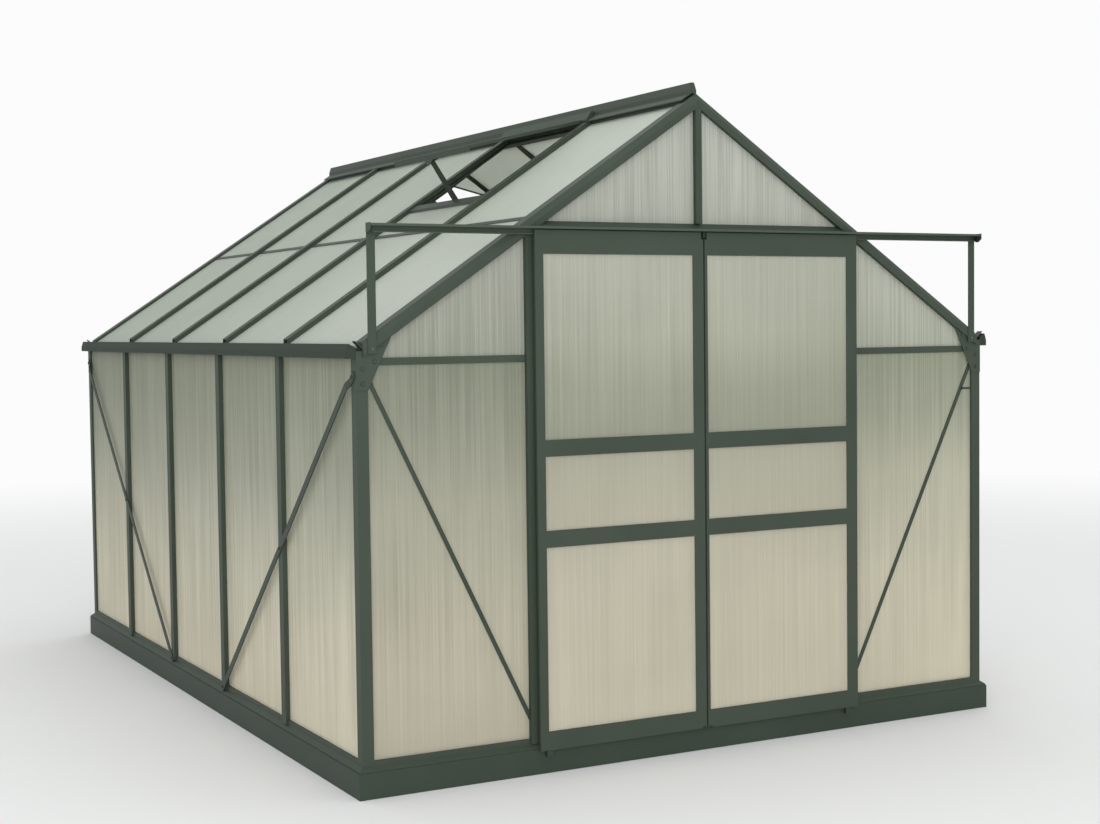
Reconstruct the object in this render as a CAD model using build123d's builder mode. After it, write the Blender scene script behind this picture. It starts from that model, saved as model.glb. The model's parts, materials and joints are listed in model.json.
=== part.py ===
from build123d import *
import math
import os

os.makedirs("parts", exist_ok=True)

# Overall sizes. X runs across the front, +Y runs from the doors to the rear wall.
width = 2500.0
bay = 675.0
bay_count = 5
end_inset = 19.0
roof_pitch = 33.66
wall_height = 1363.0
verge_rise = 35.5
base_height = 83.0
base_out = 18.0
hood_reach = 50.0
jamb_x = 644.0

# Sheets and the frame extrusions that hold them.
sheet = 6.0
recess = 8.0
roof_recess = 11.0
slot_depth = 12.0
bar_width = 40.0
bar_web = 16.0
bar_cap = 17.0
cap_wall = 2.5
inner_flange = 6.0
bar_rib = 10.0
post_size = 39.0
plate = 3.0

length = bay * bay_count + 2 * end_inset
half_width = width / 2
front_y = (hood_reach - base_out - length) / 2
back_y = front_y + length
middle_y = (front_y + back_y) / 2
pitch_tan = math.tan(math.radians(roof_pitch))
pitch_cos = math.cos(math.radians(roof_pitch))
pitch_sin = math.sin(math.radians(roof_pitch))
roof_top = wall_height + verge_rise + pitch_tan * half_width
sheet_back = recess + sheet
flange_back = sheet_back + inner_flange
bar_depth = flange_back + bar_rib
bar_out = bar_cap - recess
roof_back = roof_recess + sheet
roof_flange = roof_back + inner_flange
roof_out = bar_cap - roof_recess
half_bar = bar_width / 2
half_web = bar_web / 2
bar_ys = [front_y + end_inset + bay * i for i in range(1, bay_count)]
mirror_plane = Plane(origin=(0, middle_y, 0), z_dir=(0, 1, 0))
slope_plane = Plane(origin=(0, 0, roof_top), x_dir=(0, 1, 0), z_dir=(-pitch_cos, 0, -pitch_sin))
slope_length = half_width / pitch_cos


def left_plane(y):
    return Plane(origin=(0, y, 0), x_dir=(-1, 0, 0), z_dir=(0, 1, 0))


def side_plane(x):
    return Plane(origin=(x, 0, 0), x_dir=(0, 1, 0), z_dir=(1, 0, 0))


def roof_z(x, depth):
    return roof_top - depth / pitch_cos - pitch_tan * x


def slope_strip(x_in, x_out, top, bottom):
    return [
        (x_in, roof_z(x_in, top)),
        (x_out, roof_z(x_out, top)),
        (x_out, roof_z(x_out, bottom)),
        (x_in, roof_z(x_in, bottom)),
    ]


def block(x_in, x_out, low, high):
    return [(x_in, low), (x_out, low), (x_out, high), (x_in, high)]


def bar_section(offset, sign, centre, face, half=half_bar, web=half_web):
    points = [
        (face - bar_cap, -half),
        (face, -half),
        (face, -web),
        (face + sheet, -web),
        (face + sheet, -half),
        (face + sheet + inner_flange, -half),
        (face + sheet + inner_flange, -web),
        (face + sheet + inner_flange + bar_rib, -web),
    ]
    points = points + [(u, -v) for u, v in reversed(points)]
    return [(offset + sign * u, centre + v) for u, v in points]


def bar_chamber(offset, sign, centre, face, half=half_bar):
    reach = half - cap_wall
    points = [
        (face - bar_cap + cap_wall, -reach),
        (face - cap_wall, -reach),
        (face - cap_wall, reach),
        (face - bar_cap + cap_wall, reach),
    ]
    return [(offset + sign * u, centre + v) for u, v in points]


def swap(points):
    return [(v, u) for u, v in points]


# Base frame: folded channel, open to the inside, mitred at the corners.
base_depth = 50.0
base_wall = 3.0
base_x = half_width + base_out
base_front = front_y - base_out
base_back = back_y + base_out

with BuildPart() as base_side_rails:
    with BuildSketch(left_plane(base_front)):
        with Locations((base_x - base_depth / 2, base_height / 2)):
            Rectangle(base_depth, base_height)
        with Locations((base_x - base_wall - base_depth / 2, base_height / 2)):
            Rectangle(base_depth, base_height - 2 * base_wall, mode=Mode.SUBTRACT)
    extrude(amount=base_back - base_front)
    with BuildSketch(Plane.XY):
        Polygon(
            (-base_x, base_front),
            (-base_x, base_back),
            (-base_x + base_depth, base_back - base_depth),
            (-base_x + base_depth, base_front + base_depth),
            align=None,
        )
    extrude(amount=base_height, mode=Mode.INTERSECT)
    mirror(about=Plane.YZ)
base_side_rails.part.label = "base_side_rails"
export_step(base_side_rails.part, "parts/base_side_rails.step")

with BuildPart() as base_cross_rails:
    with BuildSketch(side_plane(-base_x)):
        with Locations((base_front + base_depth / 2, base_height / 2)):
            Rectangle(base_depth, base_height)
        with Locations((base_front + base_wall + base_depth / 2, base_height / 2)):
            Rectangle(base_depth, base_height - 2 * base_wall, mode=Mode.SUBTRACT)
    extrude(amount=2 * base_x)
    with BuildSketch(Plane.XY):
        Polygon(
            (-base_x, base_front),
            (base_x, base_front),
            (base_x - base_depth, base_front + base_depth),
            (-base_x + base_depth, base_front + base_depth),
            align=None,
        )
    extrude(amount=base_height, mode=Mode.INTERSECT)
    mirror(about=mirror_plane)
base_cross_rails.part.label = "base_cross_rails"
export_step(base_cross_rails.part, "parts/base_cross_rails.step")

# Sill rails: sloping ledge outside, upstand with a slot for the sheets.
sill_out = 15.0
lip_rise = 5.0
ledge_rise = 16.0
upstand_rise = 32.0
sill_lip_top = base_height + lip_rise
ledge_top = base_height + ledge_rise
sill_top = base_height + upstand_rise
sheet_foot = sill_top - slot_depth


def sill_section(offset, sign):
    points = [
        (-sill_out, base_height),
        (-sill_out, sill_lip_top),
        (0, ledge_top),
        (0, sill_top),
        (recess, sill_top),
        (recess, sheet_foot),
        (sheet_back, sheet_foot),
        (sheet_back, sill_top),
        (flange_back, sill_top),
        (flange_back, base_height),
    ]
    return [(offset + sign * u, z) for u, z in points]


with BuildPart() as sill_side_rails:
    with BuildSketch(left_plane(front_y - sill_out)):
        Polygon(*sill_section(half_width, -1), align=None)
    extrude(amount=length + 2 * sill_out)
    with BuildSketch(Plane.XY.offset(base_height)):
        Polygon(
            (-half_width - sill_out, front_y - sill_out),
            (-half_width - sill_out, back_y + sill_out),
            (-half_width + flange_back, back_y - flange_back),
            (-half_width + flange_back, front_y + flange_back),
            align=None,
        )
    extrude(amount=upstand_rise, mode=Mode.INTERSECT)
    with BuildSketch(Plane.XY.offset(ledge_top)):
        with Locations((-half_width, front_y), (-half_width, back_y)):
            Rectangle(2 * post_size, 2 * post_size)
    extrude(amount=upstand_rise, mode=Mode.SUBTRACT)
    mirror(about=Plane.YZ)
sill_side_rails.part.label = "sill_side_rails"
export_step(sill_side_rails.part, "parts/sill_side_rails.step")

with BuildPart() as sill_cross_rails:
    with BuildSketch(side_plane(-half_width - sill_out)):
        Polygon(*sill_section(front_y, 1), align=None)
    extrude(amount=width + 2 * sill_out)
    with BuildSketch(Plane.XY.offset(base_height)):
        Polygon(
            (-half_width - sill_out, front_y - sill_out),
            (half_width + sill_out, front_y - sill_out),
            (half_width - flange_back, front_y + flange_back),
            (-half_width + flange_back, front_y + flange_back),
            align=None,
        )
    extrude(amount=upstand_rise, mode=Mode.INTERSECT)
    with BuildSketch(Plane.XY.offset(ledge_top)):
        with Locations((-half_width, front_y), (half_width, front_y)):
            Rectangle(2 * post_size, 2 * post_size)
    extrude(amount=upstand_rise, mode=Mode.SUBTRACT)
    mirror(about=mirror_plane)
sill_cross_rails.part.label = "sill_cross_rails"
export_step(sill_cross_rails.part, "parts/sill_cross_rails.step")

# Corner posts: angle extrusion with a sheet slot in each leg, cut to fit under the rafters.
rafter_depth = 38.0
rafter_proud = 10.0
rafter_back = 53.0
rafter_end = 22.0
post_cap_rise = 22.0
slot_floor = post_size - slot_depth
rafter_foot = half_width - rafter_end
post_cap = wall_height + post_cap_rise

with BuildPart() as corner_posts:
    with BuildSketch(Plane(origin=(-half_width, front_y, ledge_top))):
        Polygon(
            (0, 0),
            (post_size, 0),
            (post_size, recess),
            (slot_floor, recess),
            (slot_floor, sheet_back),
            (post_size, sheet_back),
            (post_size, flange_back),
            (flange_back, flange_back),
            (flange_back, post_size),
            (sheet_back, post_size),
            (sheet_back, slot_floor),
            (recess, slot_floor),
            (recess, post_size),
            (0, post_size),
            align=None,
        )
    extrude(amount=post_cap)
    with BuildSketch(left_plane(front_y)):
        Polygon(
            (half_width - post_size, ledge_top),
            (half_width, ledge_top),
            (half_width, post_cap),
            (rafter_foot, post_cap),
            (rafter_foot, roof_z(rafter_foot, rafter_depth)),
            (half_width - post_size, roof_z(half_width - post_size, rafter_depth)),
            align=None,
        )
    extrude(amount=post_size, mode=Mode.INTERSECT)
    mirror(about=Plane.YZ)
    mirror(about=mirror_plane)
corner_posts.part.label = "corner_posts"
export_step(corner_posts.part, "parts/corner_posts.step")

# Eave gutters: wall head with a sheet slot below and an open trough outside.
gutter_out = 31.0
gutter_height = 45.0
gutter_floor = 3.0
gutter_x = half_width + gutter_out
gutter_top = wall_height + gutter_height
head_slot = 8.0
head_wall = wall_height + head_slot
head_top = head_wall + gutter_floor
head_x = half_width - bar_width
foot_inset = 24.0
roof_foot = half_width - foot_inset
gutter_skirt = 20.0
gutter_lean = 8.0

with BuildPart() as eave_gutters:
    with BuildSketch(left_plane(front_y)):
        Polygon(
            (head_x, wall_height),
            (half_width - sheet_back, wall_height),
            (half_width - sheet_back, head_wall),
            (half_width - recess, head_wall),
            (half_width - recess, wall_height),
            (half_width + gutter_floor, wall_height),
            (half_width + gutter_floor, head_wall),
            (gutter_x - gutter_floor, head_wall),
            (gutter_x - gutter_floor, wall_height),
            (gutter_x, wall_height),
            (gutter_x, wall_height + gutter_skirt),
            (gutter_x - gutter_lean, gutter_top),
            (gutter_x - gutter_lean - gutter_floor, gutter_top),
            (gutter_x - gutter_floor, wall_height + gutter_skirt),
            (gutter_x - gutter_floor, head_top),
            (roof_foot, head_top),
            (roof_foot, roof_z(roof_foot, roof_back)),
            (head_x, roof_z(head_x, roof_back)),
            align=None,
        )
    extrude(amount=length)
    with BuildSketch(left_plane(front_y)):
        Polygon(*block(0, half_width, wall_height, gutter_top), align=None)
    extrude(amount=post_size, mode=Mode.SUBTRACT)
    with BuildSketch(left_plane(back_y - post_size)):
        Polygon(*block(0, half_width, wall_height, gutter_top), align=None)
    extrude(amount=post_size, mode=Mode.SUBTRACT)
    with BuildSketch(left_plane(front_y)):
        Polygon(*block(0, rafter_foot, wall_height, gutter_top), align=None)
    extrude(amount=rafter_back, mode=Mode.SUBTRACT)
    with BuildSketch(left_plane(back_y - rafter_back)):
        Polygon(*block(0, rafter_foot, wall_height, gutter_top), align=None)
    extrude(amount=rafter_back, mode=Mode.SUBTRACT)
    mirror(about=Plane.YZ)
eave_gutters.part.label = "eave_gutters"
export_step(eave_gutters.part, "parts/eave_gutters.step")

# Ridge: slotted hollow beam below, sloping skirts over the bar tops and a tall narrow crest.
ridge_half = 27.0
ridge_drop = 42.0
ridge_rise = 42.0
ridge_wall = 3.0
crest_half = 6.0
crest_foot = 15.0
crest_shoulder = 26.0
skirt_half = 44.0
skirt_thick = 4.0
skirt_gap = 0.2
crest_inset = 26.0
ridge_slot = ridge_half - slot_depth
ridge_bottom = roof_top - ridge_drop
ridge_top = roof_top + ridge_rise
skirt_low = -roof_out - skirt_gap
skirt_high = skirt_low - skirt_thick
core_half = ridge_slot - ridge_wall
core_top = roof_z(ridge_slot, roof_recess) - ridge_wall


def ridge_body(sign):
    points = [
        (ridge_half, ridge_bottom),
        (ridge_half, roof_z(ridge_half, roof_back)),
        (ridge_slot, roof_z(ridge_slot, roof_back)),
        (ridge_slot, roof_z(ridge_slot, roof_recess)),
        (ridge_half, roof_z(ridge_half, roof_recess)),
        (ridge_half, roof_z(ridge_half, skirt_low)),
    ]
    return [(sign * x, z) for x, z in points]


def ridge_crest(sign):
    points = [
        (skirt_half, roof_z(skirt_half, skirt_low)),
        (skirt_half, roof_z(skirt_half, skirt_high)),
        (crest_foot, roof_z(crest_foot, skirt_high)),
        (crest_foot, ridge_top - crest_shoulder),
        (crest_half, ridge_top),
    ]
    return [(sign * x, z) for x, z in points]


with BuildPart() as ridge:
    with BuildSketch(left_plane(front_y + rafter_back)):
        Polygon(*ridge_body(1), (0, roof_z(0, skirt_low)), *reversed(ridge_body(-1)), align=None)
        Polygon(*block(-core_half, core_half, ridge_bottom + ridge_wall, core_top), align=None, mode=Mode.SUBTRACT)
    extrude(amount=length - 2 * rafter_back)
    with BuildSketch(left_plane(front_y + crest_inset)):
        Polygon(*ridge_crest(1), *reversed(ridge_crest(-1)), (0, roof_z(0, skirt_low)), align=None)
    extrude(amount=length - 2 * crest_inset)
ridge.part.label = "ridge"
export_step(ridge.part, "parts/ridge.step")

# Side wall bars: extrusions with a hollow cap, a sheet slot each side and an inner rib.
with BuildPart() as side_wall_bars:
    with BuildSketch(Plane.XY.offset(sill_top)):
        for y in bar_ys:
            Polygon(*bar_section(-half_width, 1, y, recess), align=None)
            Polygon(*bar_chamber(-half_width, 1, y, recess), align=None, mode=Mode.SUBTRACT)
    extrude(amount=wall_height - sill_top)
    with BuildSketch(Plane.XY.offset(ledge_top)):
        for y in bar_ys:
            with Locations((-half_width - bar_out / 2, y)):
                Rectangle(bar_out, bar_width)
    extrude(amount=upstand_rise - ledge_rise)
    mirror(about=Plane.YZ)
side_wall_bars.part.label = "side_wall_bars"
export_step(side_wall_bars.part, "parts/side_wall_bars.step")

# Roof bars: the same extrusion laid along the slope, notched over the wall head.
with BuildPart() as roof_bars:
    with BuildSketch(slope_plane):
        for y in bar_ys:
            Polygon(*swap(bar_section(0, 1, y, roof_recess)), align=None)
            Polygon(*swap(bar_chamber(0, 1, y, roof_recess)), align=None, mode=Mode.SUBTRACT)
    extrude(amount=slope_length)
    with BuildSketch(left_plane(front_y)):
        Polygon(
            (ridge_half, ridge_bottom),
            (head_x, wall_height - bar_depth),
            (head_x, roof_z(head_x, roof_back)),
            (roof_foot, roof_z(roof_foot, roof_back)),
            (roof_foot, roof_top),
            (ridge_half, roof_top),
            align=None,
        )
    extrude(amount=length, mode=Mode.INTERSECT)
    mirror(about=Plane.YZ)
roof_bars.part.label = "roof_bars"
export_step(roof_bars.part, "parts/roof_bars.step")

# Verge rafters: bevelled front, a roof slot facing the bays and a gable slot facing down.
bevel_run = 12.0
bevel_depth = 18.0
mitre_gap = 0.5
gable_slot_top = rafter_depth - slot_depth
roof_slot_y = rafter_back - slot_depth

with BuildPart() as verge_rafters:
    with BuildSketch(slope_plane):
        Polygon(
            (front_y - rafter_proud, rafter_depth),
            (front_y - rafter_proud, bevel_depth),
            (front_y - rafter_proud + bevel_run, 0),
            (front_y + rafter_back, 0),
            (front_y + rafter_back, roof_recess),
            (front_y + roof_slot_y, roof_recess),
            (front_y + roof_slot_y, roof_back),
            (front_y + rafter_back, roof_back),
            (front_y + rafter_back, rafter_depth),
            (front_y + sheet_back, rafter_depth),
            (front_y + sheet_back, gable_slot_top),
            (front_y + recess, gable_slot_top),
            (front_y + recess, rafter_depth),
            align=None,
        )
    extrude(amount=slope_length, both=True)
    with BuildSketch(left_plane(front_y - rafter_proud)):
        Polygon(*block(mitre_gap / 2, rafter_foot, wall_height - rafter_depth, roof_top), align=None)
    extrude(amount=rafter_proud + rafter_back, mode=Mode.INTERSECT)
    mirror(about=Plane.YZ)
    mirror(about=mirror_plane)
verge_rafters.part.label = "verge_rafters"
export_step(verge_rafters.part, "parts/verge_rafters.step")

# Door jambs and rear wall bars: the wall extrusion turned to face the gables.
jamb_out = jamb_x + half_bar
jamb_top = roof_z(jamb_out, rafter_depth)
foot_run = upstand_rise - ledge_rise

with BuildPart() as door_jambs:
    with BuildSketch(Plane.XY.offset(sill_top)):
        Polygon(*swap(bar_section(front_y, 1, -jamb_x, recess)), align=None)
        Polygon(*swap(bar_chamber(front_y, 1, -jamb_x, recess)), align=None, mode=Mode.SUBTRACT)
    extrude(amount=jamb_top - sill_top)
    with BuildSketch(Plane.XY.offset(ledge_top)):
        with Locations((-jamb_x, front_y - bar_out / 2)):
            Rectangle(bar_width, bar_out)
    extrude(amount=foot_run)
    mirror(about=Plane.YZ)
door_jambs.part.label = "door_jambs"
export_step(door_jambs.part, "parts/door_jambs.step")


def peak(reach, low):
    return [
        (-reach, low),
        (reach, low),
        (reach, roof_z(reach, rafter_depth)),
        (0, roof_z(0, rafter_depth)),
        (-reach, roof_z(reach, rafter_depth)),
    ]


with BuildPart() as rear_wall_bars:
    with BuildSketch(Plane.XY.offset(sill_top)):
        for x in (-jamb_x, jamb_x):
            Polygon(*swap(bar_section(back_y, -1, x, recess)), align=None)
            Polygon(*swap(bar_chamber(back_y, -1, x, recess)), align=None, mode=Mode.SUBTRACT)
    extrude(amount=jamb_top - sill_top)
    with BuildSketch(Plane.XY.offset(ledge_top)):
        with Locations((-jamb_x, back_y + bar_out / 2), (0, back_y + bar_out / 2), (jamb_x, back_y + bar_out / 2)):
            Rectangle(bar_width, bar_out)
    extrude(amount=foot_run)
    with BuildSketch(Plane.XY.offset(sill_top)):
        Polygon(*swap(bar_section(back_y, -1, 0, recess)), align=None)
        Polygon(*swap(bar_chamber(back_y, -1, 0, recess)), align=None, mode=Mode.SUBTRACT)
    extrude(amount=roof_top - sill_top)
    with BuildSketch(left_plane(back_y - bar_depth)):
        Polygon(*peak(jamb_out, ledge_top), align=None)
    extrude(amount=bar_depth + bar_out, mode=Mode.INTERSECT)
rear_wall_bars.part.label = "rear_wall_bars"
export_step(rear_wall_bars.part, "parts/rear_wall_bars.step")

# Door track sizes follow the height where the jambs meet the rafters.
track_lift = 5.5
track_height = 26.0
head_slope = 20.0
track_bottom = jamb_top + track_lift
track_top = track_bottom + track_height
head_rail_top = track_top + head_slope
gable_slot = head_rail_top - slot_depth
track_back = front_y - rafter_proud - plate


def under_rafter(z):
    return (roof_z(0, rafter_depth) - z) / pitch_tan


# Door head: beam between the rafters that carries the track and the gable sheets.
with BuildPart() as door_head:
    with BuildSketch(side_plane(-half_width)):
        Polygon(
            (track_back, jamb_top),
            (track_back, track_top),
            (front_y + recess, head_rail_top),
            (front_y + recess, gable_slot),
            (front_y + sheet_back, gable_slot),
            (front_y + sheet_back, head_rail_top),
            (front_y + bar_depth, head_rail_top),
            (front_y + bar_depth, jamb_top),
            align=None,
        )
    extrude(amount=width)
    with BuildSketch(left_plane(track_back)):
        Polygon(
            (-under_rafter(jamb_top), jamb_top),
            (under_rafter(jamb_top), jamb_top),
            (under_rafter(head_rail_top), head_rail_top),
            (-under_rafter(head_rail_top), head_rail_top),
            align=None,
        )
    extrude(amount=front_y + bar_depth - track_back, mode=Mode.INTERSECT)
door_head.part.label = "door_head"
export_step(door_head.part, "parts/door_head.step")

# Front gable bar: a slimmer bar of the same kind, from the door head to the peak.
gable_half = 12.0
gable_web = 3.0

with BuildPart() as front_gable_bar:
    with BuildSketch(Plane.XY.offset(head_rail_top)):
        Polygon(*swap(bar_section(front_y, 1, 0, recess, gable_half, gable_web)), align=None)
        Polygon(*swap(bar_chamber(front_y, 1, 0, recess, gable_half)), align=None, mode=Mode.SUBTRACT)
    extrude(amount=roof_top - head_rail_top)
    with BuildSketch(left_plane(front_y - bar_out)):
        Polygon(*peak(gable_half, head_rail_top), align=None)
    extrude(amount=bar_out + bar_depth, mode=Mode.INTERSECT)
front_gable_bar.part.label = "front_gable_bar"
export_step(front_gable_bar.part, "parts/front_gable_bar.step")

# Mid rails: slim H strips at eave height between the posts and the jambs.
mid_rail_drop = 11.0
mid_rail_half = 11.5
strip_web = 3.0
strip_face = 3.0
mid_rail_z = wall_height - mid_rail_drop


def strip_section(offset, sign, centre, half):
    points = [
        (recess - strip_face, -half),
        (recess, -half),
        (recess, -strip_web / 2),
        (sheet_back, -strip_web / 2),
        (sheet_back, -half),
        (sheet_back + strip_face, -half),
    ]
    points = points + [(u, -v) for u, v in reversed(points)]
    return [(offset + sign * u, centre + v) for u, v in points]


with BuildPart() as front_mid_rails:
    with BuildSketch(side_plane(-half_width + post_size)):
        Polygon(*strip_section(front_y, 1, mid_rail_z, mid_rail_half), align=None)
    extrude(amount=half_width - post_size - jamb_out)
    mirror(about=Plane.YZ)
front_mid_rails.part.label = "front_mid_rails"
export_step(front_mid_rails.part, "parts/front_mid_rails.step")

with BuildPart() as rear_mid_rails:
    with BuildSketch(side_plane(-half_width + post_size)):
        Polygon(*strip_section(back_y, -1, mid_rail_z, mid_rail_half), align=None)
    extrude(amount=half_width - post_size - jamb_out)
    with BuildSketch(side_plane(-jamb_x + half_bar)):
        Polygon(*strip_section(back_y, -1, mid_rail_z, mid_rail_half), align=None)
    extrude(amount=jamb_x - bar_width)
    mirror(about=Plane.YZ)
rear_mid_rails.part.label = "rear_mid_rails"
export_step(rear_mid_rails.part, "parts/rear_mid_rails.step")

# Door track: web, running ledge and projecting hood in one extrusion.
track_inset = 37.0
track_wall = 3.0
hood_thick = 5.0
hood_lip = 3.0
hood_lip_thick = 1.5
ledge_thick = 3.5
ledge_reach = 27.0
track_half = half_width - track_inset
ledge_z = track_bottom + ledge_thick
hood_bottom = track_top - hood_thick
hood_front = front_y - hood_reach

with BuildPart() as door_track:
    with BuildSketch(side_plane(-track_half)):
        Polygon(
            (track_back, track_bottom),
            (track_back, track_top),
            (hood_front, track_top),
            (hood_front, hood_bottom - hood_lip),
            (hood_front + hood_lip_thick, hood_bottom - hood_lip),
            (hood_front + hood_lip_thick, hood_bottom),
            (track_back - track_wall, hood_bottom),
            (track_back - track_wall, ledge_z),
            (front_y - ledge_reach, ledge_z),
            (front_y - ledge_reach, track_bottom),
            align=None,
        )
    extrude(amount=2 * track_half)
door_track.part.label = "door_track"
export_step(door_track.part, "parts/door_track.step")

# Track posts: flat straps from the rafter feet up to the track ends.
strap_width = 28.0
strap_inset = 51.0
strap_drop = 10.0
strap_x = half_width - strap_inset
strap_foot = roof_z(strap_x, rafter_depth) - strap_drop

with BuildPart() as track_posts:
    with BuildSketch(left_plane(track_back)):
        Polygon(*block(strap_x - strap_width / 2, strap_x + strap_width / 2, strap_foot, track_top), align=None)
    extrude(amount=plate)
    mirror(about=Plane.YZ)
track_posts.part.label = "track_posts"
export_step(track_posts.part, "parts/track_posts.step")

# Track stops: a buffer at each end and one at the middle, under the hood.
stop_half = 5.0
stop_drop = 24.0
stop_deep = 10.0
stop_gap = 1.0
end_stop = 8.0
stop_y = front_y - ledge_reach - stop_gap - stop_deep / 2

with BuildPart() as track_stops:
    with BuildSketch(Plane.XY.offset(hood_bottom)):
        with Locations((0, stop_y)):
            Rectangle(2 * stop_half, stop_deep)
        with Locations((-track_half + end_stop / 2, stop_y), (track_half - end_stop / 2, stop_y)):
            Rectangle(end_stop, stop_deep)
    extrude(amount=-stop_drop)
track_stops.part.label = "track_stops"
export_step(track_stops.part, "parts/track_stops.step")

# Gusset plates tie the rafters to the posts at the gable corners.
gusset_reach = 120.0
knee_reach = 99.0
knee_rise = 27.0
gusset_drop = 99.0
gusset_inner = half_width - gusset_reach
gusset_knee_x = half_width - knee_reach
gusset_knee_z = wall_height + knee_rise
gusset_foot = wall_height - gusset_drop

with BuildPart() as gusset_plates:
    with BuildSketch(left_plane(front_y - plate)):
        Polygon(
            (gusset_inner, roof_z(gusset_inner, rafter_depth)),
            (gusset_knee_x, gusset_knee_z),
            (half_width - post_size, gusset_foot),
            (half_width, gusset_foot),
            (half_width, post_cap),
            (rafter_foot, post_cap),
            (rafter_foot, roof_z(rafter_foot, rafter_depth)),
            align=None,
        )
    extrude(amount=plate)
    mirror(about=Plane.YZ)
    mirror(about=mirror_plane)
gusset_plates.part.label = "gusset_plates"
export_step(gusset_plates.part, "parts/gusset_plates.step")

# Wind braces: flat strips. Those of the gables lie on the sheets between post and jamb.
# Those of the side walls lie on the bar faces, with a pad that steps down to the post.
brace_width = 14.0
brace_foot_rise = 93.0
brace_head_drop = 43.5
side_foot_rise = 20.0
side_head_drop = 54.0
pad_length = 34.0


def strip_points(a, b, wide, run=1.0):
    dx = b[0] - a[0]
    dz = b[1] - a[1]
    reach = math.hypot(dx, dz)
    end = (a[0] + dx * run, a[1] + dz * run)
    nx = -dz / reach * wide / 2
    nz = dx / reach * wide / 2
    return [(a[0] + nx, a[1] + nz), (end[0] + nx, end[1] + nz), (end[0] - nx, end[1] - nz), (a[0] - nx, a[1] - nz)]


gable_head = (half_width - post_size + brace_width / 2, wall_height - brace_head_drop)
gable_foot = (jamb_out - brace_width / 2, base_height + brace_foot_rise)

with BuildPart() as gable_braces:
    with BuildSketch(left_plane(front_y + recess - plate)):
        Polygon(*strip_points(gable_head, gable_foot, brace_width), align=None)
        Polygon(*block(jamb_out, half_width - post_size, sill_top, mid_rail_z), align=None, mode=Mode.INTERSECT)
    extrude(amount=plate)
    mirror(about=Plane.YZ)
    mirror(about=mirror_plane)
gable_braces.part.label = "gable_braces"
export_step(gable_braces.part, "parts/gable_braces.step")

side_head = (front_y + post_size / 2, wall_height - side_head_drop)
side_foot = (bar_ys[1], base_height + side_foot_rise)
side_run = pad_length / math.hypot(side_head[0] - side_foot[0], side_head[1] - side_foot[1])

with BuildPart() as side_braces:
    with BuildSketch(side_plane(-half_width - bar_out - plate)):
        Polygon(*strip_points(side_head, side_foot, brace_width), align=None)
    extrude(amount=plate)
    with BuildSketch(side_plane(-half_width - bar_out)):
        Polygon(*strip_points(side_head, side_foot, brace_width, side_run), align=None)
    extrude(amount=bar_out)
    mirror(about=Plane.YZ)
    mirror(about=mirror_plane)
side_braces.part.label = "side_braces"
export_step(side_braces.part, "parts/side_braces.step")

# Roof strips: slim H strips that join the upper and lower roof sheets.
strip_x = 620.0
strip_half = 9.0
strip_run = strip_half * pitch_cos
web_run = strip_web / 2 * pitch_cos
bay_starts = [front_y + rafter_back] + [y + half_bar for y in bar_ys]
bay_ends = [y - half_bar for y in bar_ys] + [back_y - rafter_back]

with BuildPart() as roof_strips:
    for start, end in zip(bay_starts, bay_ends):
        with BuildSketch(left_plane(start)):
            Polygon(
                *slope_strip(strip_x - strip_run, strip_x + strip_run, roof_recess - strip_face, roof_recess),
                align=None,
            )
            Polygon(*slope_strip(strip_x - web_run, strip_x + web_run, roof_recess, roof_back), align=None)
            Polygon(
                *slope_strip(strip_x - strip_run, strip_x + strip_run, roof_back, roof_back + strip_face),
                align=None,
            )
        extrude(amount=end - start)
    mirror(about=Plane.YZ)
roof_strips.part.label = "roof_strips"
export_step(roof_strips.part, "parts/roof_strips.step")

# Vent curbs close the lower edge of the roof openings, one opening in each slope.
vent_bay = 1
curb_in = 440.0
curb_wide = 31.0
curb_slot_in = 16.0
curb_shelf_in = 35.0
curb_top = 2.0
curb_flange = 4.0
curb_out = curb_in + curb_wide
curb_slot = curb_in + curb_slot_in
curb_shelf = curb_in - curb_shelf_in
vent_start = bay_starts[vent_bay]
vent_end = bay_ends[vent_bay]

with BuildPart() as vent_curbs:
    with BuildSketch(left_plane(vent_start)):
        Polygon(*slope_strip(curb_in, curb_out, curb_top, roof_recess), align=None)
        Polygon(*slope_strip(curb_in, curb_slot, roof_recess, roof_back), align=None)
        Polygon(*slope_strip(curb_shelf, curb_out, roof_back, roof_back + curb_flange), align=None)
    extrude(amount=vent_end - vent_start)
    mirror(mirror(vent_curbs.part, about=Plane.YZ, mode=Mode.PRIVATE), about=mirror_plane)
vent_curbs.part.label = "vent_curbs"
export_step(vent_curbs.part, "parts/vent_curbs.step")

# Vent sashes: hinged beside the ridge crest and propped open, with a deeper lower rail.
vent_open = 20.2
sash_length = 496.0
sash_frame = 26.0
sash_thick = 12.0
sash_side = 21.0
rail_wide = 22.0
rail_deep = 9.0
hinge_x = 50.0
hinge_lift = 21.6
sash_tilt = math.radians(roof_pitch - vent_open)
sash_cos = math.cos(sash_tilt)
sash_sin = math.sin(sash_tilt)
hinge_z = roof_z(hinge_x, 0) + hinge_lift
sash_y0 = bar_ys[vent_bay - 1] + sash_side
sash_y1 = bar_ys[vent_bay] - sash_side
sash_mid = (sash_y0 + sash_y1) / 2
sash_width = sash_y1 - sash_y0
sash_plane = Plane(
    origin=(-hinge_x, sash_mid, hinge_z),
    x_dir=(-sash_cos, 0, -sash_sin),
    z_dir=(-sash_sin, 0, sash_cos),
)
pane_low = (sash_thick - sheet) / 2
pane_long = sash_length - 2 * sash_frame + 2 * slot_depth
pane_wide = sash_width - 2 * sash_frame + 2 * slot_depth

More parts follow.
